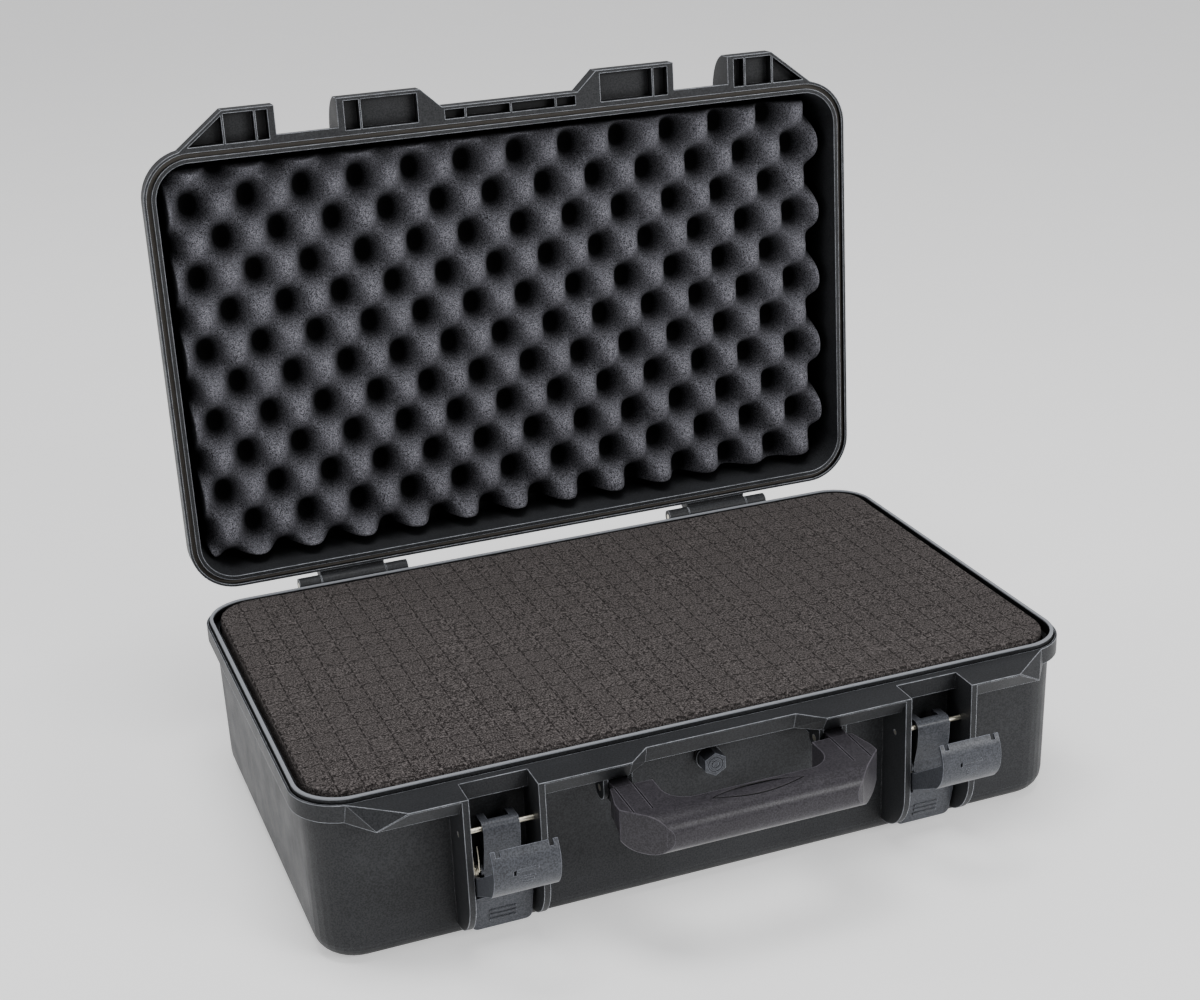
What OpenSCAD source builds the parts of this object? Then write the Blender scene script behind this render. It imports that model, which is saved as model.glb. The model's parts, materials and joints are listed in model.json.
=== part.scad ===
// Hard equipment case: two moulded shells with foam inserts, two claw latches, a folding handle
// and a pressure relief valve. The origin is the middle of the base's flat underside, the front
// faces -Y and the hinges are at +Y. The lid and the latches are drawn open.

/* [Shells] */
// Width across the rims
case_w = 500; // [480:10:540]
// Depth across the rims, front aprons left out
case_d = 300; // [280:10:340]
// Height of the base from underside to rim
base_h = 109; // [100:1:130]
// Depth of the lid from rim to top
lid_h = 46; // [44:2:60]
// Thickness of the moulded walls
wall = 3; // [2.6:0.2:3.4]
// Radius of the rim's corners
corner_r = 32; // [28:1:36]
// Height of the band around each rim
band_h = 11; // [10:1:12]
// How far the rim stands out from the wall
band_out = 5; // [4:0.5:6]
// Angle from the open lid to the shut lid
open_angle = 92; // [90:1:98]

/* [Front aprons] */
// Reach of the latch tabs beyond the rim
apron_out = 23; // [20:1:25]
// Reach of the short lip in the latch bays
lip_out = 4; // [3:0.5:5]
// Reach of the apron between the handle arms
mid_out = 10; // [8:1:12]
// Distance from the middle to each latch bay
bay_x = 139.5; // [130:0.5:145]
// Clear width of a latch bay
bay_w = 41; // [41:0.5:43]
// Thickness of the ribs beside each bay
rib_t = 4; // [3:0.5:5]
// Height of the ribs below the rim
rib_h = 96; // [90:1:98]

/* [Latches] */
// Diameter of the main pin of a latch
latch_pin_d = 3; // [2.5:0.1:3.2]
// Diameter of the claw's pin
claw_pin_d = 2.5; // [2:0.1:2.6]
// Width of the claw cover
claw_w = 39.4; // [38:0.2:39.6]
// Width of the finger plate
plate_w = 36.6; // [34:0.2:37]

/* [Handle] */
// Distance from the middle to the outer side of an arm
handle_half_w = 81; // [78:1:84]
// Distance from the middle to the inner side of an arm
grip_half_w = 51; // [48:1:53]
// Reach of the grip in front of the pivots
handle_reach = 62; // [60:1:64]
// Diameter of the handle pins
handle_pin_d = 4; // [3.6:0.1:4.4]

/* [Hinges] */
// Distance of the hinge axis behind the rim
hinge_back = 7.5; // [7:0.5:9]
// Length of each hinge
hinge_len = 78; // [70:1:82]
// Length of the lid's middle knuckle
knuckle_len = 46; // [42:1:50]
// Diameter of the hinge pins
hinge_pin_d = 4; // [3.6:0.1:4.2]

/* [Foam] */
// Thickness of the solid pad under the pluck foam
pad_t = 20; // [15:1:25]
// Depth of the egg-crate foam in the lid
egg_t = 35; // [30:1:36]

/* [Hidden] */

fine = 64;           // facets of the large arcs
small = 32;          // facets of the pins and small arcs
run = 0.06;          // radial clearance of a turning pin
hold = 0.02;         // radial clearance of a pin in its own body
past = 1;            // how far a cutter runs past a face

body_w = case_w - 2 * band_out;
body_d = case_d - 2 * band_out;
body_r = corner_r - band_out;
room_w = body_w - 2 * wall;
room_d = body_d - 2 * wall;
room_r = body_r - wall;
front = case_d / 2;
wall_y = -body_d / 2;

draft = 1;           // how much each wall leans in on its way down
lid_draft = 3;
floor_edge = 14;     // rounding between walls and underside
roof_edge = 12;

bead_in = 4.6;       // rim's outer edge to the bead's inner side
bead_out = 2.4;      // rim's outer edge to the bead's outer side
bead_h = 3;
moat_w = 1;          // channel outside the bead
moat_h = 1.5;
ledge_drop = 5;      // step between the foam and the bead
groove_gap = 0.5;    // groove to bead, each side
groove_h = 6;
seal_h = 2.6;

ramp_foot = 224;             // where the corner ramps leave the rim
ramp_head = 194;             // where they reach the full reach
mid_head = 62;               // ends of the recess between the handle arms
mid_foot = 48;
skirt_t = 2.2;
cell_rib = 1.4;
plate_t = 3;
tab_y = -(front + apron_out);
lip_y = -(front + lip_out);
mid_y = -(front + mid_out);
undercut = 6;                // how far the base's apron leans back on its way down
catch_t = 2.7;               // lid lip that a claw grips
seat = 0.2;                  // gap between the rims of the shut case

hinge_y = front + hinge_back;
hinge_z = base_h;
knuckle_r = 5;
hinge_gap = 0.4;

main_y = -160;               // latch main pin
main_z = base_h - 28;
claw_y = -157;               // claw pin
claw_z = base_h - 56;

grip_y = -160;               // handle pins
grip_z = base_h - 19;
lug_t = 3;
lug_x = 60;                  // inner side of the inner lug
lug_gap = 12;
knuckle_w = 11.2;
arm_back = grip_y - 15;      // rear end of the arms, in front of the knuckles
arm_top = grip_z + 6.6;
grip_t = 25;                 // section of the grip
grip_h = 25;
grip_r = 11.5;
thumb_y = grip_y - handle_reach + 13;
thumb_t = 1.2;

claw_swing = 56;             // from the closed claw to the drawn one
bow_r = 21.5;                // bowed cover
cover_t = 2.2;
bow = [3.9, base_h + seat + catch_t + 0.3 - claw_z - bow_r + cover_t];
finger_t = 3;
plate_lean = 15;

valve_x = -4;
valve_z = base_h - 22.5;
stem_r = 5;

foam_gap = 1.2;              // foam to wall
pad_w = room_w - 2 * draft - 2;
pad_d = room_d - 2 * draft - 2;
foam_top = base_h + 4.5;

// Rectangle with round corners
module rounded(w, d, r) {
    square([w - 2 * r, d], center = true);
    square([w, d - 2 * r], center = true);
    for (sx = [-1, 1], sy = [-1, 1])
        translate([sx * (w / 2 - r), sy * (d / 2 - r)]) circle(r = r, $fn = fine);
}

// Drafted block with round corners and a rounded lower edge
module tub(w, d, h, lean, r, edge) {
    hull() {
        translate([0, 0, h - 1]) linear_extrude(1) rounded(w, d, r);
        for (sx = [-1, 1], sy = [-1, 1])
            translate([sx * (w / 2 - lean - r), sy * (d / 2 - lean - r), edge])
                rotate_extrude($fn = small) translate([r - edge, 0]) intersection() {
                    circle(r = edge, $fn = small);
                    translate([0, -edge]) square([edge, edge]);
                }
    }
}

// Side view (y, z) drawn across a width centred on x
module across(w, x = 0) {
    translate([x - w / 2, 0, 0]) rotate([90, 0, 90]) linear_extrude(w) children();
}

// Pin or bore along X
module rod(r, len, y, z, x = 0) {
    translate([x - len / 2, y, z]) rotate([0, 90, 0]) cylinder(r = r, h = len, $fn = small);
}

// Closed ring between two insets from the rim's outline
module ring(inset_out, inset_in) {
    difference() {
        rounded(case_w - 2 * inset_out, case_d - 2 * inset_out, corner_r - inset_out);
        rounded(case_w - 2 * inset_in, case_d - 2 * inset_in, corner_r - inset_in);
    }
}

// Plan of one half of the apron, its front edges moved back by lean
module wing(lean) {
    polygon([[mid_foot, 10 - front], [mid_foot, mid_y + lean / 2], [mid_head, tab_y + lean],
        [ramp_head + 3 * lean, tab_y + lean], [ramp_foot + lean / 4, 0.5 - front],
        [ramp_foot + lean / 4, 10 - front]]);
}

module middle(lean) {
    translate([-mid_foot, mid_y + lean / 2])
        square([2 * mid_foot, 10 - front - mid_y - lean / 2]);
}

// Plan of the latch bays in front of the short lip
module bays() {
    for (s = [-1, 1])
        translate([s * bay_x - bay_w / 2, tab_y - past]) square([bay_w, lip_y - tab_y + past]);
}

// Hollows of the apron between its thin ribs: the tabs, the middle and the corner ramps
module apron_cells(tab_cells, mid_cells, lean) {
    back = -(front + 1.6);
    tab_in = tab_y + lean + skirt_t;
    mid_in = mid_y + lean / 2 + skirt_t;
    for (s = [-1, 1], c = tab_cells)
        translate([s > 0 ? c[0] : -c[1], tab_in]) square([c[1] - c[0], back - tab_in]);
    for (c = mid_cells)
        translate([c[0], mid_in]) square([c[1] - c[0], back - mid_in]);
    for (s = [-1, 1])
        polygon([[s * (ramp_head + 0.8), tab_in + 1.2], [s * (ramp_foot - 6), back],
            [s * (ramp_head + 0.8), back]]);
}

// Ends of the cells between rib positions, given in order
function cells(ribs, t) = [for (k = [0 : len(ribs) - 2]) [ribs[k] + t / 2, ribs[k + 1] - t / 2]];

// Rib beside a latch bay: full reach, then a round sweep back to the wall
module bay_rib(h, sweep) {
    reach = wall_y - tab_y;
    difference() {
        translate([tab_y, 0]) square([reach + 1.5, h]);
        difference() {
            translate([tab_y - past, h - sweep]) square([reach + past, sweep + past]);
            translate([wall_y, h - sweep]) scale([reach / sweep, 1]) circle(r = sweep, $fn = fine);
        }
    }
}

module bay_ribs(h, sweep) {
    for (s = [-1, 1], e = [-1, 1])
        across(rib_t, s * bay_x + e * (bay_w + rib_t) / 2) bay_rib(h, sweep);
}

// ---- base ----

// Band whose front leans from one plan at the rim to a second one below
module leaning() {
    hull() {
        translate([0, 0, base_h - 1]) linear_extrude(1) children(0);
        translate([0, 0, base_h - band_h]) linear_extrude(0.4) children(1);
    }
}

tab_cells_base = concat(cells([64, 84, 100, 114], cell_rib), cells([165, 180, ramp_head], cell_rib));

module base_walls() {
    difference() {
        union() {
            tub(body_w, body_d, base_h - 2, draft, body_r, floor_edge);
            translate([0, 0, base_h - band_h]) linear_extrude(band_h)
                rounded(case_w, case_d, corner_r);
            difference() {
                for (s = [0, 1]) mirror([s, 0, 0]) leaning() {
                    wing(0);
                    wing(undercut);
                }
                translate([0, 0, base_h - band_h - past]) linear_extrude(band_h + 2 * past) bays();
            }
            leaning() {
                middle(0);
                middle(undercut);
            }
            translate([0, 0, base_h]) linear_extrude(bead_h) ring(bead_out, bead_in);
        }
        translate([0, 0, base_h - moat_h]) linear_extrude(moat_h + past)
            ring(bead_out - moat_w, bead_out);
        translate([0, 0, wall])
            tub(room_w, room_d, base_h + past - wall, draft, room_r, floor_edge - wall);
        translate([0, 0, base_h - ledge_drop]) linear_extrude(ledge_drop + bead_h + past)
            rounded(case_w - 2 * bead_in, case_d - 2 * bead_in, corner_r - bead_in);
        translate([0, 0, base_h - band_h - past]) linear_extrude(band_h - plate_t + past)
            apron_cells(tab_cells_base, cells([-46, -23, 0, 23, 46], cell_rib), undercut);
    }
}

module handle_lugs() {
    for (s = [-1, 1], k = [0, 1])
        across(lug_t, s * (lug_x + lug_t / 2 + k * (lug_gap + lug_t))) {
            translate([grip_y, base_h - band_h - 8]) square([wall_y - grip_y + 1, 9]);
            translate([grip_y - 7, grip_z]) square([14, base_h - band_h - grip_z + 1]);
            translate([grip_y, grip_z]) circle(r = 7, $fn = small);
        }
}

// Base knuckle with its arm
module knuckle(len, x) {
    across(len, x) {
        translate([hinge_y, hinge_z]) circle(r = knuckle_r, $fn = small);
        polygon([[hinge_y - 4.9, hinge_z - 1], [body_d / 2 - 1, hinge_z - 1],
            [body_d / 2 - 1, hinge_z - 22], [body_d / 2 + 3, hinge_z - 20],
            [hinge_y + 4, hinge_z - 3], [hinge_y, hinge_z]]);
    }
}

module base_knuckles() {
    end_len = (hinge_len - knuckle_len) / 2 - hinge_gap;
    for (s = [-1, 1], e = [-1, 1])
        knuckle(end_len, s * bay_x + e * (hinge_len - end_len) / 2);
}

module base_shell() {
    color("#2b2c2e") difference() {
        union() {
            base_walls();
            translate([0, 0, base_h - 1]) mirror([0, 0, 1]) bay_ribs(rib_h, 30);
            handle_lugs();
            base_knuckles();
        }
        for (s = [-1, 1]) {
            rod(latch_pin_d / 2 + hold, bay_w + 2 * rib_t + 2, main_y, main_z, s * bay_x);
            rod(hinge_pin_d / 2 + hold, hinge_len + 2, hinge_y, hinge_z, s * bay_x);
            rod(handle_pin_d / 2 + hold, lug_gap + 2 * lug_t + 2, grip_y, grip_z,
                s * (lug_x + lug_t + lug_gap / 2));
        }
        valve_turn(wall_y - 2) cylinder(r = stem_r + hold, h = wall + 4, $fn = small);
    }
}

module base_foam_pad() {
    color("#4a4644") translate([0, 0, wall + 0.3]) linear_extrude(pad_t)
        rounded(pad_w - 18, pad_d - 18, room_r - 8);
}

module pluck_foam() {
    low = wall + pad_t + 0.6;
    color("#464240") difference() {
        translate([0, 0, low]) linear_extrude(foam_top - low)
            rounded(room_w - 2 * foam_gap, room_d - 2 * foam_gap, room_r + 1);
        translate([valve_x - 11, wall_y + wall, valve_z - 11]) cube([22, 9, 22]);
    }
}

// ---- pressure relief valve ----

module valve_turn(y) {
    translate([valve_x, y, valve_z]) rotate([-90, 0, 0]) children();
}

module valve_body() {
    color("#2b2c2e") difference() {
        union() {
            valve_turn(wall_y - 3.5) cylinder(r = 8, h = 2.5, $fn = small);
            valve_turn(wall_y - 3.5) cylinder(r = stem_r, h = wall + 8, $fn = small);
            valve_turn(wall_y - 12) cylinder(r = 3, h = 9, $fn = small);
        }
        valve_turn(wall_y - 2) cylinder(r = 1.8, h = 20, $fn = small);
        valve_turn(wall_y + wall + 3.5) cylinder(r = 4, h = 2, $fn = small);
    }
}

module valve_gasket() {
    color("#1c1c1c") valve_turn(wall_y - 1) difference() {
        cylinder(r = 7.6, h = 1, $fn = small);
        translate([0, 0, -past]) cylinder(r = stem_r + hold, h = 3, $fn = small);
    }
}

module valve_nut() {
    color("#2b2c2e") valve_turn(wall_y + wall + 0.4) difference() {
        cylinder(r = 8.6, h = 3.4, $fn = 6);
        translate([0, 0, -past]) cylinder(r = stem_r + hold, h = 6, $fn = small);
    }
}

module valve_membrane() {
    color("#d8d8d4") valve_turn(wall_y + wall + 3.6) cylinder(r = 3.9, h = 0.5, $fn = small);
}

module valve_knob() {
    color("#2f3032") valve_turn(wall_y - 13.5) difference() {
        rotate([0, 0, 30]) cylinder(r = 7.5, h = 9.5, $fn = 6);
        translate([0, 0, 1]) cylinder(r = 3 + run, h = 10, $fn = small);
        for (r = [2, 4.2])
            translate([0, 0, -past]) difference() {
                cylinder(r = r + 0.7, h = past + 0.4, $fn = small);
                translate([0, 0, -past]) cylinder(r = r, h = 4, $fn = small);
            }
    }
}

// ---- pins ----

module steel_pin(d, len, y, z, x) {
    color("#c9c3b2") rod(d / 2, len, y, z, x);
}

module hinge_pin(s) {
    steel_pin(hinge_pin_d, hinge_len, hinge_y, hinge_z, s * bay_x);
}

module handle_pin(s) {
    steel_pin(handle_pin_d, lug_gap + 2 * lug_t, grip_y, grip_z, s * (lug_x + lug_t + lug_gap / 2));
}

module latch_main_pin(s) {
    steel_pin(latch_pin_d, bay_w + 2 * rib_t, main_y, main_z, s * bay_x);
}

// ---- lid: drawn shut, then swung open about the hinge axis ----

module lid_place() {
    translate([0, hinge_y, hinge_z]) rotate([-open_angle, 0, 0])
        translate([0, -hinge_y, -hinge_z]) children();
}

tab_cells_lid = concat(cells([64, 103.5, 115], cell_rib), cells([164, 173, ramp_head], cell_rib));

module lid_walls() {
    difference() {
        union() {
            translate([0, 0, lid_h]) mirror([0, 0, 1])
                tub(body_w, body_d, lid_h - 2, lid_draft, body_r, roof_edge);
            linear_extrude(band_h) {
                rounded(case_w, case_d, corner_r);
                difference() {
                    union() {
                        wing(0);
                        mirror([1, 0]) wing(0);
                        middle(0);
                    }
                    bays();
                }
            }
        }
        translate([0, 0, lid_h - wall]) mirror([0, 0, 1])
            tub(room_w, room_d, lid_h + past - wall, lid_draft, room_r, roof_edge - wall);
        translate([0, 0, -past]) linear_extrude(band_h - plate_t + past)
            apron_cells(tab_cells_lid, cells([-47, -32, 0, 32, 47], cell_rib), 0);
        for (s = [-1, 1])
            translate([s * bay_x - bay_w / 2, lip_y - past, catch_t])
                cube([bay_w, lip_out + past, band_h]);
        translate([0, 0, lid_h - 1]) linear_extrude(2) difference() {
            rounded(body_w - 90, body_d - 80, 14);
            rounded(body_w - 96, body_d - 86, 11);
        }
    }
}

module lid_knuckles() {
    for (s = [-1, 1]) across(knuckle_len, s * bay_x) {
        translate([hinge_y, -seat]) circle(r = knuckle_r, $fn = small);
        polygon([[hinge_y - 4.9, 0.8], [body_d / 2 - 1, 0.8], [body_d / 2 - 3, 24],
            [body_d / 2 + 2, 22], [hinge_y + 4, 2.8], [hinge_y, 0]]);
    }
}

module lid_shell() {
    color("#2b2c2e") lid_place() difference() {
        translate([0, 0, base_h + seat]) {
            lid_walls();
            bay_ribs(27, 20);
            lid_knuckles();
        }
        translate([0, 0, base_h + seat - past]) linear_extrude(groove_h + past)
            ring(bead_out - groove_gap, bead_in + groove_gap);
        for (s = [-1, 1])
            rod(hinge_pin_d / 2 + run, knuckle_len + 2, hinge_y, hinge_z, s * bay_x);
    }
}

module lid_seal() {
    color("#5a544e") lid_place()
        translate([0, 0, base_h + seat + groove_h - seal_h]) linear_extrude(seal_h)
            ring(bead_out - groove_gap, bead_in + groove_gap);
}

module lid_foam() {
    step = 5;
    color("#333236") lid_place() translate([0, 0, base_h + lid_h - wall - egg_t]) {
        linear_extrude(egg_t - step) rounded(room_w - 16, room_d - 16, room_r - 4);
        linear_extrude(egg_t) rounded(room_w - 28, room_d - 28, room_r - 8);
    }
}

// ---- handle ----

module handle_plan() {
    ends = grip_y - handle_reach;
    difference() {
        polygon([[-handle_half_w + 4, arm_back], [-handle_half_w, ends + 30],
            [-handle_half_w, ends + 23], [-handle_half_w + 20, ends + 2],
            [-handle_half_w + 24, ends], [handle_half_w - 24, ends],
            [handle_half_w - 20, ends + 2], [handle_half_w, ends + 23],
            [handle_half_w, ends + 30], [handle_half_w - 4, arm_back]]);
        translate([0, grip_y]) rounded(2 * grip_half_w, 2 * (handle_reach - 20), 15);
    }
}

// Side view of the arms and grip: flat arms that run into a round-edged grip
module handle_side() {
    nose = grip_y - handle_reach;
    translate([nose + grip_t / 2, arm_top - grip_h / 2]) rounded(grip_t, grip_h, grip_r);
    polygon([[nose + 12, arm_top], [nose + 12, arm_top - 13], [arm_back - 15, arm_top - 13],
        [arm_back, arm_top - 18], [arm_back, arm_top]]);
    polygon([[nose + 15, arm_top - grip_h + 1.6], [nose + 20, arm_top - 20],
        [nose + 27, arm_top - 14.5], [nose + 34, arm_top - 13], [nose + 15, arm_top - 12]]);
}

module handle() {
    pivots = [for (s = [-1, 1]) s * (lug_x + lug_t + lug_gap / 2)];
    color("#303134") difference() {
        union() {
            intersection() {
                translate([0, 0, grip_z - 40]) linear_extrude(60) handle_plan();
                across(2 * handle_half_w) handle_side();
            }
            for (x = pivots) {
                rod(6.5, knuckle_w, grip_y, grip_z, x);
                translate([x - knuckle_w / 2, arm_back - 1, grip_z - 6.5])
                    cube([knuckle_w, grip_y - arm_back + 1, 13]);
            }
        }
        for (x = pivots) rod(handle_pin_d / 2 + run, 20, grip_y, grip_z, x);
        for (s = [-1, 1], x = [63, 74.4])
            translate([s * x - 0.4, arm_back - 30, arm_top - 0.6]) cube([0.8, 31, 2]);
        thumb_shell(0, 1, thumb_t);
    }
}

// Lens in the plan of the grip, wrapped over its round edge down to a depth
module thumb_shell(gap, proud, depth) {
    nose = grip_y - handle_reach;
    difference() {
        intersection() {
            translate([0, thumb_y, arm_top - 11]) linear_extrude(14) intersection_for(s = [-1, 1])
                translate([0, s * 74.6]) circle(r = 80 - gap, $fn = 180);
            across(60) translate([nose + grip_t / 2, arm_top - grip_h / 2])
                rounded(grip_t + 2 * proud, grip_h + 2 * proud, grip_r + proud);
        }
        across(64) translate([nose + grip_t / 2, arm_top - grip_h / 2])
            rounded(grip_t - 2 * depth, grip_h - 2 * depth, grip_r - depth);
    }
}

module handle_thumb_inlay() {
    color("#26272a") thumb_shell(0.3, 0.1, thumb_t - 0.05);
}

// ---- latches ----

// Side view of the neck between the two barrels and down to the finger plate
module lever_side() {
    polygon([[main_y - 4.6, main_z], [main_y - 4.6, main_z - 4], [main_y - 3.8, main_z - 12],
        [claw_y - 3.6, claw_z + 4], [claw_y - 3.6, claw_z - 4], [claw_y - 4.2, claw_z - 12],
        [claw_y - 1.5, claw_z - 21], [claw_y + 1.6, claw_z - 16], [claw_y + 3, claw_z - 6],
        [claw_y + 3.4, claw_z], [claw_y + 1.4, claw_z + 8], [main_y + 3.4, main_z - 8],
        [main_y + 4, main_z]]);
}

// Side view of a prong that points back at the wall
module prong_side() {
    polygon([[main_y, main_z + 4.6], [main_y + 9, main_z + 4.2], [main_y + 11.4, main_z + 2],
        [main_y + 9, main_z + 1], [main_y + 3, main_z + 0.6]]);
}

// Finger plate with three ridges, leaning out towards its top
module finger_plate() {
    translate([0, claw_y + 3.8, claw_z - 29.6]) rotate([90 + plate_lean, 0, 0]) {
        linear_extrude(finger_t) rounded(plate_w, 26, 4);
        for (k = [0 : 2])
            translate([-8, 1 - 3.6 * k, finger_t]) rotate([0, 90, 0])
                cylinder(r = 0.9, h = 16, $fn = small);
    }
}

module latch_lever(s) {
    x = s * bay_x;
    color("#333437") difference() {
        union() {
            rod(4.6, 22, main_y, main_z, x);
            rod(3.6, 25, claw_y, claw_z, x);
            across(22, x) lever_side();
            for (e = [-1, 1]) across(4.6, x + e * 8.7) prong_side();
            translate([x, 0, 0]) finger_plate();
        }
        rod(latch_pin_d / 2 + run, 30, main_y, main_z, x);
        rod(claw_pin_d / 2 + hold, 30, claw_y, claw_z, x);
    }
}

module latch_claw_pin(s) {
    steel_pin(claw_pin_d, claw_w + 0.4, claw_y, claw_z, s * bay_x);
}

// Bowed cover of the closed claw, seen from the side with the claw's pin at the origin
module cover_side() {
    difference() {
        translate(bow) circle(r = bow_r, $fn = fine);
        translate(bow) circle(r = bow_r - cover_t, $fn = fine);
        translate(bow) polygon([[0, 0], [4.2, 40], [60, 40], [60, -60], [-60, -60], [-60, 4.2]]);
    }
}

// Side of the closed claw: rim behind the cover, then a leg down to the pin
module cheek_side() {
    polygon([[-5, 57.3], [-5.4, 50], [-5.4, 20], [-2.4, 5], [0, 2], [0, -4], [-4, -12],
        [-13, -9.7], [-17.2, 41.4], [-15.9, 43.4], [-14.8, 47.5], [-11.6, 53], [-8, 56]]);
    circle(r = 4.4, $fn = small);
}

module latch_claw(s) {
    x = s * bay_x;
    cheek = 2.2;
    color("#3a3b3e") translate([x, claw_y, claw_z]) rotate([claw_swing, 0, 0]) difference() {
        union() {
            across(claw_w) cover_side();
            for (e = [-1, 1]) across(cheek, e * (claw_w - cheek) / 2) cheek_side();
            bow_rod(0.9, 13, 24, 0);
            for (k = [0 : 2]) bow_rod(0.6, 9 - 2 * k, 36 + 5.6 * k, 0);
        }
        rod(claw_pin_d / 2 + run, claw_w + 4, 0, 0);
        for (e = [-1, 1]) translate([e * 15.6 - 1.4, bow[0] - 1.5, bow[1] + 17]) cube([2.8, 9, 6]);
        bow_rod(1.5, 1.6, 27, -7.4);
    }
}

// Rod on the bow of the cover, turned by a from the top of the closed claw
module bow_rod(r, len, a, x) {
    rod(r, len, bow[0] - (bow_r - 0.2) * sin(a + 6), bow[1] + (bow_r - 0.2) * cos(a + 6), x);
}

// Torsion spring: a straight leg, a helix about the claw pin and a second leg
coil_r = 2.7;
wire_r = 0.4;
coil_turns = 3;
coil_steps = 14;
coil_pitch = 1.02;
leg_top = 18;

function coil_route() = [
    for (k = [0 : coil_turns * coil_steps])
        let (a = 180 + 360 * k / coil_steps)
            [coil_pitch * k / coil_steps, coil_r * cos(a), coil_r * sin(a)]
];
function spring_route() = concat(
    [[0, -coil_r + 4.6, leg_top], [0, -coil_r + 1.6, leg_top / 2]],
    coil_route(),
    [[coil_pitch * coil_turns, -coil_r, leg_top / 2],
     [coil_pitch * coil_turns, -coil_r + 1.6, leg_top - 2]]
);
function unit(v) = v / norm(v);
function heading(p, k) = unit(p[min(k + 1, len(p) - 1)] - p[max(k - 1, 0)]);
function hoop(p, k, sides) =
    let (t = heading(p, k), u = unit(cross(t, [0.94, 0.2, 0.27])), v = cross(t, u))
        [for (j = [0 : sides - 1])
            p[k] + wire_r * (cos(360 * j / sides) * u + sin(360 * j / sides) * v)];

module wire(p) {
    sides = 8;
    rings = len(p);
    polyhedron(
        points = [for (k = [0 : rings - 1]) each hoop(p, k, sides)],
        faces = concat(
            [[for (j = [0 : sides - 1]) j]],
            [for (k = [0 : rings - 2], j = [0 : sides - 1])
                [k * sides + j, (k + 1) * sides + j, (k + 1) * sides + (j + 1) % sides,
                 k * sides + (j + 1) % sides]],
            [[for (j = [sides - 1 : -1 : 0]) (rings - 1) * sides + j]]));
}

module latch_spring(s) {
    color("#b9b7b0") translate([s * bay_x - 16.6, claw_y, claw_z]) wire(spring_route());
}

base_shell();
base_foam_pad();
pluck_foam();
valve_body();
valve_gasket();
valve_nut();
valve_membrane();
valve_knob();
hinge_pin(-1);  // hinge_pin_left
hinge_pin(1);  // hinge_pin_right
handle_pin(-1);  // handle_pin_left
handle_pin(1);  // handle_pin_right
latch_main_pin(-1);  // latch_left_main_pin
latch_main_pin(1);  // latch_right_main_pin
lid_shell();
lid_seal();
lid_foam();
handle();
handle_thumb_inlay();
latch_lever(-1);  // latch_left_lever
latch_claw_pin(-1);  // latch_left_claw_pin
latch_spring(-1);  // latch_left_spring
latch_claw(-1);  // latch_left_claw
latch_lever(1);  // latch_right_lever
latch_claw_pin(1);  // latch_right_claw_pin
latch_spring(1);  // latch_right_spring
latch_claw(1);  // latch_right_claw
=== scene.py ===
import json
import math

import bpy
import numpy as np
from mathutils import Matrix, Vector, noise


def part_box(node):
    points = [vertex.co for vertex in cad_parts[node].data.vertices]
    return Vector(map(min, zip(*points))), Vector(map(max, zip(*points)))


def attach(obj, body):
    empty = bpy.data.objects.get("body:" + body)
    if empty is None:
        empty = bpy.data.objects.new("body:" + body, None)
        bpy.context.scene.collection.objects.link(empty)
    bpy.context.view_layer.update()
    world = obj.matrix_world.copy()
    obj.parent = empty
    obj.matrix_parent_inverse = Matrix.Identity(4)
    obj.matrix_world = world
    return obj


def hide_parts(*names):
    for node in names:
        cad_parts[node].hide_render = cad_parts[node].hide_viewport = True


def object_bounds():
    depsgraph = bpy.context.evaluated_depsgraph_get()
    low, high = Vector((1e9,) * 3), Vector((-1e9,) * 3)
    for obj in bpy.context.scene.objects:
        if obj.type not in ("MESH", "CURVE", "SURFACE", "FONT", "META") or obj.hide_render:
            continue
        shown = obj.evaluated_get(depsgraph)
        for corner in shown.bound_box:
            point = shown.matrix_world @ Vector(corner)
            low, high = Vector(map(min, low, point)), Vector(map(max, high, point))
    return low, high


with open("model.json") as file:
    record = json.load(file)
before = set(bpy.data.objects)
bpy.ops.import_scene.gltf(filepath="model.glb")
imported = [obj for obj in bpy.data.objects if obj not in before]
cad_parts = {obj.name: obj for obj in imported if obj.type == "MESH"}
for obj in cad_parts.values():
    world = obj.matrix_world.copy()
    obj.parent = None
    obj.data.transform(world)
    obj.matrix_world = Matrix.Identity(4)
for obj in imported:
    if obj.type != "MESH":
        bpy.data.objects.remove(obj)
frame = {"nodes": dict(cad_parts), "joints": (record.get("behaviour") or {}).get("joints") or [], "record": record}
low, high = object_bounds()

MM = 0.001
nodes = frame["nodes"]
joints = {j["name"]: j for j in frame["joints"]}


# ---------------------------------------------------------------- materials

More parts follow.
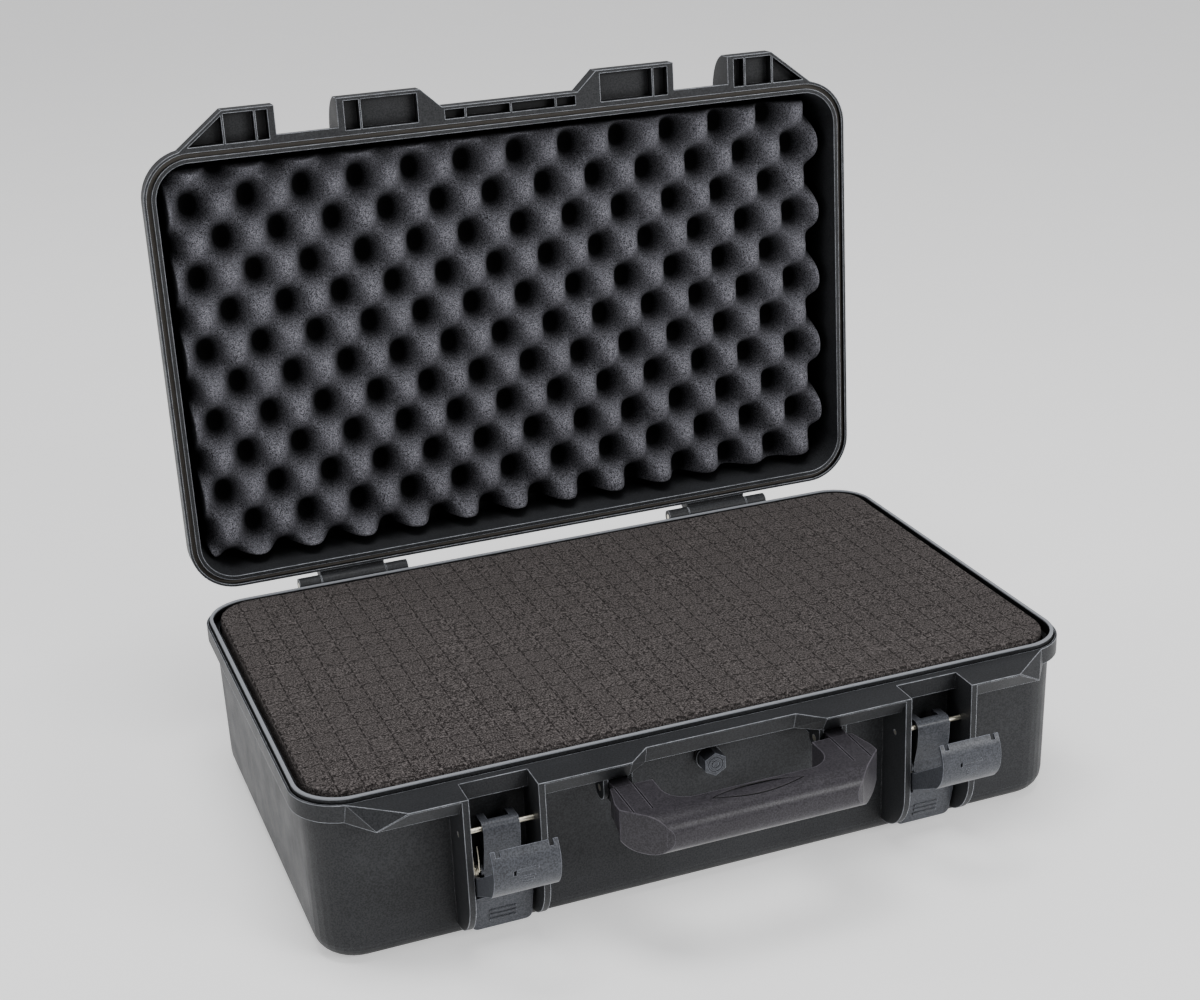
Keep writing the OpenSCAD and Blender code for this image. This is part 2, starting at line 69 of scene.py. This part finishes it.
class Graph:
    """A material's nodes, made one by one."""

    def __init__(self, name):
        self.mat = bpy.data.materials.new(name)
        self.mat.use_nodes = True
        self.tree = self.mat.node_tree
        self.shader = self.tree.nodes["Principled BSDF"]
        self.place = self.add("ShaderNodeTexCoord").outputs["Object"]

    def add(self, kind, inputs=(), **fields):
        node = self.tree.nodes.new(kind)
        for key, value in fields.items():
            setattr(node, key, value)
        for key, value in dict(inputs).items():
            self.put(node.inputs[key], value)
        return node

    def put(self, socket, value):
        if isinstance(value, bpy.types.NodeSocket):
            self.tree.links.new(value, socket)
        else:
            socket.default_value = value

    def math(self, op, *values):
        return self.add("ShaderNodeMath", dict(enumerate(values)), operation=op).outputs[0]

    def noise(self, scale, detail=2.0, rough=0.5, place=None):
        return self.add("ShaderNodeTexNoise", {
            "Vector": place or self.place, "Scale": scale, "Detail": detail,
            "Roughness": rough}).outputs["Fac"]

    def spread(self, value, low, high, new_low, new_high):
        return self.add("ShaderNodeMapRange", {
            "Value": value, "From Min": low, "From Max": high,
            "To Min": new_low, "To Max": new_high}).outputs["Result"]

    def between(self, factor, first, second):
        return self.add("ShaderNodeMix", {0: factor, 6: first, 7: second},
                        data_type="RGBA").outputs[2]

    def bump(self, height, distance, strength=1.0, normal=None):
        inputs = {"Height": height, "Distance": distance, "Strength": strength}
        if normal:
            inputs["Normal"] = normal
        return self.add("ShaderNodeBump", inputs).outputs["Normal"]

    def openness(self, reach, low, high):
        """From 0 deep in a recess to 1 in the open."""
        node = self.add("ShaderNodeAmbientOcclusion", {"Distance": reach}, samples=6)
        return self.spread(node.outputs["AO"], low, high, 0, 1)

    def dot(self, first, second):
        return self.add("ShaderNodeVectorMath", {0: first, 1: second},
                        operation="DOT_PRODUCT").outputs["Value"]

    def finish(self, **inputs):
        for key, value in inputs.items():
            self.put(self.shader.inputs[key.replace("_", " ")], value)
        return self.mat


def rgb(r, g, b):
    """An sRGB colour from 0 to 255 as the linear one that nodes take."""
    part = [c / 255 for c in (r, g, b)]
    return (*[c / 12.92 if c <= 0.04045 else ((c + 0.055) / 1.055) ** 2.4 for c in part], 1.0)


def scaled(colour, factor):
    return (*[c * factor for c in colour[:3]], 1.0)


def plastic(name, colour, rough, grain, edge, scuff_sheen_strength=0.35, rim=20.0, crest_highlight=None,
            groove=None):
    """Moulded plastic: spark grain, uneven sheen, painted highlights on rounded edges, scuffs with painted sheen,
    painted shade in recesses and creases.
    """
    g = Graph(name)
    # ambient-occlusion openness at two reaches, used below to paint shade into recesses and creases and to keep
    # the painted edge highlight out of them
    open_air = g.openness(0.022, 0.14, 0.66)
    crease = g.openness(0.0013, 0.45, 0.85)
    cloud = g.noise(14, 3, 0.6)
    fine = g.noise(2600, 2, 0.6)
    spark = g.spread(g.noise(1000, 2, 0.6), 0.38, 0.62, 0, 1)
    cloudy = g.spread(cloud, 0.3, 0.7, 0, 1)
    tone = g.between(spark, g.between(cloudy, scaled(colour, 0.55), scaled(colour, 0.8)),
                     g.between(cloudy, scaled(colour, 1.25), scaled(colour, 1.6)))
    # pale streaks: scuffs that also raise the roughness, with a painted sheen that lightens the colour along them
    streak_place = g.add("ShaderNodeMapping", {
        "Vector": g.place, "Rotation": (0.3, 0.5, 0.4), "Scale": (1.0, 9.0, 3.0)}).outputs[0]
    scuff_sheen = g.spread(g.noise(75, 5, 0.72, streak_place), 0.56, 0.76, 0, scuff_sheen_strength)
    tone = g.between(scuff_sheen, tone, scaled(colour, 2.4))
    # painted highlight on rounded edges: where the bevelled normal turns from the face, the colour is made paler,
    # broken up by noise and kept out of recesses and creases
    soft = g.add("ShaderNodeBevel", {"Radius": edge}, samples=6).outputs["Normal"]
    flat = g.add("ShaderNodeNewGeometry").outputs["Normal"]
    turn = g.spread(g.dot(soft, flat), 0.998, 0.93, 0, 1)
    edge_highlight = g.math("MULTIPLY", turn, g.spread(g.noise(180, 3, 0.6), 0.3, 0.6, 0.45, 1))
    edge_highlight = g.math("MULTIPLY", edge_highlight, g.spread(open_air, 0.25, 0.7, 0, 1))
    edge_highlight = g.math("MULTIPLY", edge_highlight, g.math("POWER", crease, 3.0))
    # the painted edge highlight is rim times the colour
    tone = g.between(edge_highlight, tone, scaled(colour, rim))
    # painted shade: the colour darkens towards a tenth of itself deep in recesses
    tone = g.between(g.math("POWER", open_air, 1.4), scaled(colour, 0.1), tone)
    # painted shade in narrow creases: the colour darkens towards 0.15 of itself
    tone = g.between(g.math("POWER", crease, 1.5), scaled(colour, 0.15), tone)
    # painted highlight along the marked crest: the colour made twelve times brighter
    if crest_highlight:
        tone = g.between(crest_highlight(g), tone, scaled(colour, 12))
    if groove:
        tone = g.between(groove(g), tone, scaled(colour, 0.08))
    sheen = g.spread(g.noise(48, 4, 0.6), 0.3, 0.7, rough - 0.05, rough + 0.06)
    sheen = g.math("ADD", sheen, g.math("MULTIPLY", scuff_sheen, 0.12))
    wave = g.bump(cloud, 0.0004, 0.25, soft)
    return g.finish(Base_Color=tone, Roughness=sheen, IOR=1.5,
                    Specular_IOR_Level=0.2,
                    Normal=g.bump(fine, 0.00012, grain, wave))


def steel(name, colour):
    """Drawn wire and pins: fine turning lines along the length."""
    g = Graph(name)
    place = g.add("ShaderNodeMapping", {"Vector": g.place, "Scale": (60, 1, 1)}).outputs[0]
    lines = g.noise(160, 4, 0.7, place)
    tone = g.between(lines, scaled(colour, 0.75), scaled(colour, 1.15))
    return g.finish(Base_Color=tone, Metallic=1.0, Roughness=g.spread(lines, 0, 1, 0.26, 0.46),
                    Normal=g.bump(lines, 0.00003, 0.4))


def rubber(name, colour):
    """Foamed rubber cord: matt, with open pores."""
    g = Graph(name)
    pores = g.noise(1900, 4, 0.7)
    tone = g.between(g.spread(pores, 0.35, 0.65, 0, 1), scaled(colour, 0.7), scaled(colour, 1.2))
    return g.finish(Base_Color=tone, Roughness=0.82, Normal=g.bump(pores, 0.0002, 0.6))


def foam(name, colour, pore_scale, depth, cuts=None, sink=None):
    """Open-cell foam: open pores, dusty patches, cut lines on top and painted shade in the hollows."""
    g = Graph(name)
    pores = g.noise(pore_scale, 2, 0.6)
    coarse = g.noise(pore_scale * 0.45, 2, 0.6)
    pit = g.math("ADD", g.math("MULTIPLY", g.spread(pores, 0.41, 0.59, 0, 1), 0.75),
                 g.math("MULTIPLY", g.spread(coarse, 0.38, 0.62, 0, 1), 0.25))
    dust = g.noise(22, 4, 0.65)
    tone = g.between(pit, scaled(colour, 0.1), scaled(colour, 2.3))
    tone = g.between(g.spread(dust, 0.35, 0.7, 0, 0.3), tone, scaled(colour, 1.3))
    height = pit
    if cuts:
        mask = cuts(g)
        tone = g.between(mask, tone, scaled(colour, 0.3))
        height = g.math("SUBTRACT", pit, g.math("MULTIPLY", mask, 1.6))
    if sink:
        # painted shade: the colour darkens almost to black deep in the hollows
        tone = g.between(sink(g), tone, scaled(colour, 0.03))
    return g.finish(Base_Color=tone, Roughness=1.0, Specular_IOR_Level=0.08,
                    Normal=g.bump(height, depth, 0.9))


def lines_along(g, coordinate, across, pitch, dash, gap, width, start):
    """Mask of a family of dashed cuts: one line every pitch of coordinate, dashed along across."""
    away = g.math("PINGPONG", g.math("ADD", coordinate, start), pitch / 2)
    on_line = g.spread(away, width * 0.4, width, 1, 0)
    beat = g.math("PINGPONG", across, (dash + gap) / 2)
    return g.math("MULTIPLY", on_line, g.spread(beat, gap / 2 - 0.0002, gap / 2 + 0.0002, 0, 1))


CELL_X = 15.0 * MM
CELL_Y = 17.5 * MM


def pluck_cuts(g):
    split = g.add("ShaderNodeSeparateXYZ", {"Vector": g.place}).outputs
    along_y = lines_along(g, split["X"], split["Y"], CELL_X, 5.6 * MM, 3.1 * MM, 0.6 * MM, 0)
    along_x = lines_along(g, split["Y"], split["X"], CELL_Y, 4.4 * MM, 3.1 * MM, 0.6 * MM, 0)
    return g.math("MULTIPLY", g.math("MAXIMUM", along_y, along_x), 0.8)


# the lid's foam lies in an open lid: its own downward direction is turned with the lid
hinge = Vector(joints["lid_hinge"]["pos_m"])
open_turn = math.radians(joints["lid_hinge"]["range_deg"][1])
swing = Matrix.Translation(hinge) @ Matrix.Rotation(-open_turn, 4, "X") @ Matrix.Translation(-hinge)
shut = np.array([swing.inverted() @ v.co for v in nodes["lid_foam"].data.vertices])
flo, fhi = shut.min(0), shut.max(0)
facing = swing.to_3x3() @ Vector((0, 0, -1))
peak_level = facing.dot(swing @ Vector((0, 0, flo[2])))
BUMP = 30 * MM


# Painted shade for the lid foam's hollows: 0 on the peaks, rising to 1 deep in the pits.
def pit_shade(g):
    below = g.math("SUBTRACT", peak_level, g.dot(g.place, tuple(facing)))
    return g.math("POWER", g.spread(below, 0.04 * BUMP, 0.78 * BUMP, 0, 1), 1.1)


rim_level = joints["lid_hinge"]["pos_m"][2]
front_of_hinge = joints["lid_hinge"]["pos_m"][1] - 8 * MM


def bead_crest_highlight(g):
    """A painted highlight along the upper edge of the base's sealing bead."""
    split = g.add("ShaderNodeSeparateXYZ", {"Vector": g.place}).outputs
    crown = g.spread(split["Z"], rim_level + 2.0 * MM, rim_level + 2.5 * MM, 0, 1)
    below = g.spread(split["Z"], rim_level + 3.2 * MM, rim_level + 3.6 * MM, 1, 0)
    ahead_of_it = g.spread(split["Y"], front_of_hinge, front_of_hinge + 0.2 * MM, 1, 0)
    return g.math("MULTIPLY", g.math("MULTIPLY", crown, below), ahead_of_it)


pad_low, pad_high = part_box("handle_thumb_inlay")


def lens_outline(g):
    """The line around the lens-shaped thumb pad: where two arcs meet in the grip's plan."""
    half_x, half_y = (pad_high.x - pad_low.x) / 2, (pad_high.y - pad_low.y) / 2
    radius = (half_x ** 2 + half_y ** 2) / (2 * half_y)
    split = g.add("ShaderNodeSeparateXYZ", {"Vector": g.place}).outputs
    flat = g.add("ShaderNodeCombineXYZ", {"X": split["X"], "Y": split["Y"]}).outputs[0]
    away = []
    for s in (-1, 1):
        centre = (0, (pad_low.y + pad_high.y) / 2 + s * (radius - half_y), 0)
        away.append(g.add("ShaderNodeVectorMath", {0: flat, 1: centre},
                          operation="DISTANCE").outputs["Value"])
    edge = g.math("ABSOLUTE", g.math("SUBTRACT", g.math("MAXIMUM", *away), radius + 0.15 * MM))
    line = g.spread(edge, 0.35 * MM, 0.6 * MM, 1, 0)
    return g.math("MULTIPLY", line, g.spread(split["Z"], pad_low.z, pad_low.z + 0.2 * MM, 0, 1))


mats = {
    # the shell's sealing bead gets a painted highlight along its crest
    "shell_plastic": plastic("shell_plastic", rgb(40, 41, 43), 0.46, 0.4, 0.0008,
                             crest_highlight=bead_crest_highlight),
    "latch_plastic": plastic("latch_plastic", rgb(64, 66, 71), 0.32, 0.35, 0.0004, 0.3, 6.0),
    "grip_plastic": plastic("grip_plastic", rgb(50, 48, 52), 0.32, 0.5, 0.0011, 0.3, 4.5,
                            groove=lens_outline),
    "base_foam": foam("base_foam", rgb(73, 69, 68), 980, 0.0008, pluck_cuts),
    # the lid foam's hollows get painted shade
    "lid_foam": foam("lid_foam", rgb(100, 100, 106), 1300, 0.0007, sink=pit_shade),
    "seal_rubber": rubber("seal_rubber", rgb(72, 68, 63)),
    "pin_steel": steel("pin_steel", (0.72, 0.68, 0.56, 1)),
    "membrane": rubber("membrane", rgb(205, 205, 200)),
}
slot_of = {s["node"]: s["material_slot"] for s in frame["record"]["subparts"]}
for name, obj in nodes.items():
    for one in obj.material_slots:
        one.material = mats[slot_of[name]]


# ---------------------------------------------------------------- foam pieces

def steps(half, pitch, edge):
    """Grid lines from -half to half: close together at the ends, then every pitch."""
    inner = half - edge[-1]
    count = max(2, round(2 * inner / pitch))
    middle = np.linspace(-inner, inner, count + 1)
    ends = [half - e for e in edge[:-1]]
    return np.array([-e for e in ends] + list(middle) + ends[::-1])


def inside(x, y, half_x, half_y, r):
    """How far a point is inside a rectangle with round corners."""
    qx, qy = abs(x) - (half_x - r), abs(y) - (half_y - r)
    return r - math.hypot(max(qx, 0), max(qy, 0)) - min(max(qx, qy), 0)


def into_corner(x, y, half_x, half_y, r):
    """Moves a grid point of the rectangle to its place in the one with round corners."""
    cx, cy = abs(x) - (half_x - r), abs(y) - (half_y - r)
    if cx <= 0 or cy <= 0:
        return x, y
    nx = cx * math.sqrt(1 - cy * cy / (2 * r * r))
    ny = cy * math.sqrt(1 - cx * cx / (2 * r * r))
    return (math.copysign(half_x - r + nx, x), math.copysign(half_y - r + ny, y))


def block(name, half_x, half_y, r, top, bottom, relief, pitch, rounding, flare=None):
    """A closed foam block. Its top follows relief(x, y), and its sides go down to bottom."""
    edge = [0, 0.25 * rounding, 0.6 * rounding, rounding, 1.8 * rounding]
    xs, ys = steps(half_x, pitch, edge), steps(half_y, pitch, edge)
    verts, faces = [], []
    nx, ny = len(xs), len(ys)
    for y in ys:
        for x in xs:
            px, py = into_corner(x, y, half_x, half_y, r)
            d = min(inside(px, py, half_x, half_y, r), rounding)
            drop = rounding - math.sqrt(max(rounding ** 2 - (rounding - d) ** 2, 0))
            verts.append((px, py, top + relief(px, py) - drop))
    for j in range(ny - 1):
        for i in range(nx - 1):
            a = j * nx + i
            faces.append((a, a + 1, a + nx + 1, a + nx))
    rim = ([i for i in range(nx)] + [j * nx + nx - 1 for j in range(1, ny)]
           + [(ny - 1) * nx + i for i in range(nx - 2, -1, -1)] + [j * nx for j in range(ny - 2, 0, -1)])
    above = rim
    levels = 7
    for k in range(1, levels + 1):
        t = k / levels
        ring = []
        for v in rim:
            x, y, z = verts[v]
            pull = flare(x, y, t) if flare else 0.0
            ring.append(len(verts))
            verts.append((x * (1 - pull / half_x), y * (1 - pull / half_y), z + (bottom - z) * t))
        for i in range(len(rim)):
            j = (i + 1) % len(rim)
            faces.append((above[i], ring[i], ring[j], above[j]))
        above = ring
    centre = len(verts)
    verts.append((0, 0, bottom))
    for i in range(len(rim)):
        faces.append((above[(i + 1) % len(rim)], above[i], centre))
    mesh = bpy.data.meshes.new(name)
    mesh.from_pydata(verts, [], faces)
    mesh.update()
    for p in mesh.polygons:
        p.use_smooth = True
    piece = bpy.data.objects.new(name, mesh)
    bpy.context.scene.collection.objects.link(piece)
    return piece


def dress(piece, body, slot, stands_for):
    piece.data.materials.append(mats[slot])
    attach(piece, body)
    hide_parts(stands_for)
    return piece


def wobble(x, y, scale, seed):
    return noise.noise(Vector((x * scale, y * scale, seed)))


# base: the cut block, each cell a little proud of its cut lines
lo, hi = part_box("pluck_foam")
base_half = ((hi.x - lo.x) / 2, (hi.y - lo.y) / 2)


def cell_relief(x, y):
    fx = abs((x / CELL_X + 0.5) % 1 - 0.5) * 2
    fy = abs((y / CELL_Y + 0.5) % 1 - 0.5) * 2
    puff = (1 - (1 - fx) ** 6) * (1 - (1 - fy) ** 6)
    column = noise.cell(Vector((math.floor(x / CELL_X) + 0.5, math.floor(y / CELL_Y) + 0.5, 3.5)))
    return (-0.35 + 0.35 * puff - 0.3 * abs(column) + 0.25 * (wobble(x, y, 30, 1.7) - 0.8)) * MM


pluck = block("pluck_foam_block", *base_half, 25 * MM, hi.z, lo.z, cell_relief, 2.5 * MM, 2.2 * MM)
dress(pluck, "base", "base_foam", "pluck_foam")

lo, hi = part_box("base_foam_pad")
pad = block("base_pad_block", (hi.x - lo.x) / 2, (hi.y - lo.y) / 2, 16 * MM, hi.z, lo.z,
            lambda x, y: 0.3 * MM * (wobble(x, y, 40, 5.1) - 1), 6 * MM, 2 * MM)
dress(pad, "base", "base_foam", "base_foam_pad")

# lid: the convoluted block, made shut and then swung to the open lid
WAVES = ((25.65, -19.83, -0.757), (27.16, 20.03, -2.328))   # two crossed waves: turns per metre, phase


def crate_relief(x, y):
    x += 1.6 * MM * wobble(x, y, 14, 8.2)
    y += 1.6 * MM * wobble(x, y, 14, 2.6)
    wave = sum(math.cos(2 * math.pi * (a * x + b * y) + phase) for a, b, phase in WAVES) / 2
    sink = (0.5 - 0.5 * wave) ** 1.45
    return -BUMP * sink - 0.6 * MM * (1 + wobble(x, y, 60, 4.4))


crate = block("lid_foam_block", (fhi[0] - flo[0]) / 2, (fhi[1] - flo[1]) / 2, 9 * MM,
              -flo[2], -fhi[2], crate_relief, 2.2 * MM, 2 * MM)
turn_over = Matrix.Diagonal((1, 1, -1, 1))
crate.data.transform(swing @ turn_over)
crate.data.flip_normals()
dress(crate, "lid", "lid_foam", "lid_foam")


# ---------------------------------------------------------------- stage

def add_light(name, place, target, width, height, power, colour=(1, 1, 1)):
    data = bpy.data.lights.new(name, "AREA")
    data.shape = "RECTANGLE"
    data.size, data.size_y = width, height
    data.energy = power
    data.color = colour
    lamp = bpy.data.objects.new(name, data)
    bpy.context.scene.collection.objects.link(lamp)
    lamp.location = place
    aim = Vector(target) - Vector(place)
    lamp.rotation_mode = "QUATERNION"
    lamp.rotation_quaternion = aim.to_track_quat("-Z", "Y")
    return lamp


def pale(name, colour):
    g = Graph(name)
    speck = g.noise(9, 3, 0.5)
    tone = g.between(speck, colour, scaled(colour, 0.97))
    return g.finish(Base_Color=tone, Roughness=0.7, Emission_Color=tone, Emission_Strength=0.6)


mesh = bpy.data.meshes.new("floor")
size = 40.0
mesh.from_pydata([(-size, -size, 0), (size, -size, 0), (size, size, 0), (-size, size, 0)], [],
                 [(0, 1, 2, 3)])
floor = bpy.data.objects.new("floor", mesh)
floor.location.z = low.z - 0.0004
bpy.context.scene.collection.objects.link(floor)
mesh.materials.append(pale("floor_paper", (0.86, 0.86, 0.86, 1)))

middle = (low + high) / 2
add_light("left", (-2.3, 1.3, 1.5), (-0.25, 0.0, 0.08), 1.0, 1.0, 14)
add_light("front", (1.4, -2.2, 1.3), middle, 1.3, 0.5, 42)
add_light("top", (-0.2, -0.2, 2.3), middle, 1.4, 0.9, 36)

world = bpy.data.worlds.new("studio")
world.use_nodes = True
world.node_tree.nodes["Background"].inputs["Color"].default_value = (0.98, 0.98, 1.0, 1)
world.node_tree.nodes["Background"].inputs["Strength"].default_value = 0.42
bpy.context.scene.world = world

# camera: where the photograph was taken from
YAW, PITCH, ROLL = 0.3542, 0.3789, -0.0433
ahead = Vector((math.sin(YAW) * math.cos(PITCH), math.cos(YAW) * math.cos(PITCH), -math.sin(PITCH)))
right = Vector((math.cos(YAW), -math.sin(YAW), 0))
up = right.cross(ahead)
side = right * math.cos(ROLL) + up * math.sin(ROLL)
head = up * math.cos(ROLL) - right * math.sin(ROLL)
camera = bpy.data.objects.new("camera", bpy.data.cameras.new("camera"))
bpy.context.scene.collection.objects.link(camera)
camera.matrix_world = Matrix.Translation((-0.4187, -1.1030, 0.6673)) @ Matrix((
    (side.x, head.x, -ahead.x), (side.y, head.y, -ahead.y), (side.z, head.z, -ahead.z))).to_4x4()
camera.data.sensor_width = 36
camera.data.lens = 36 * 1986.5 / 1200
bpy.context.scene.camera = camera
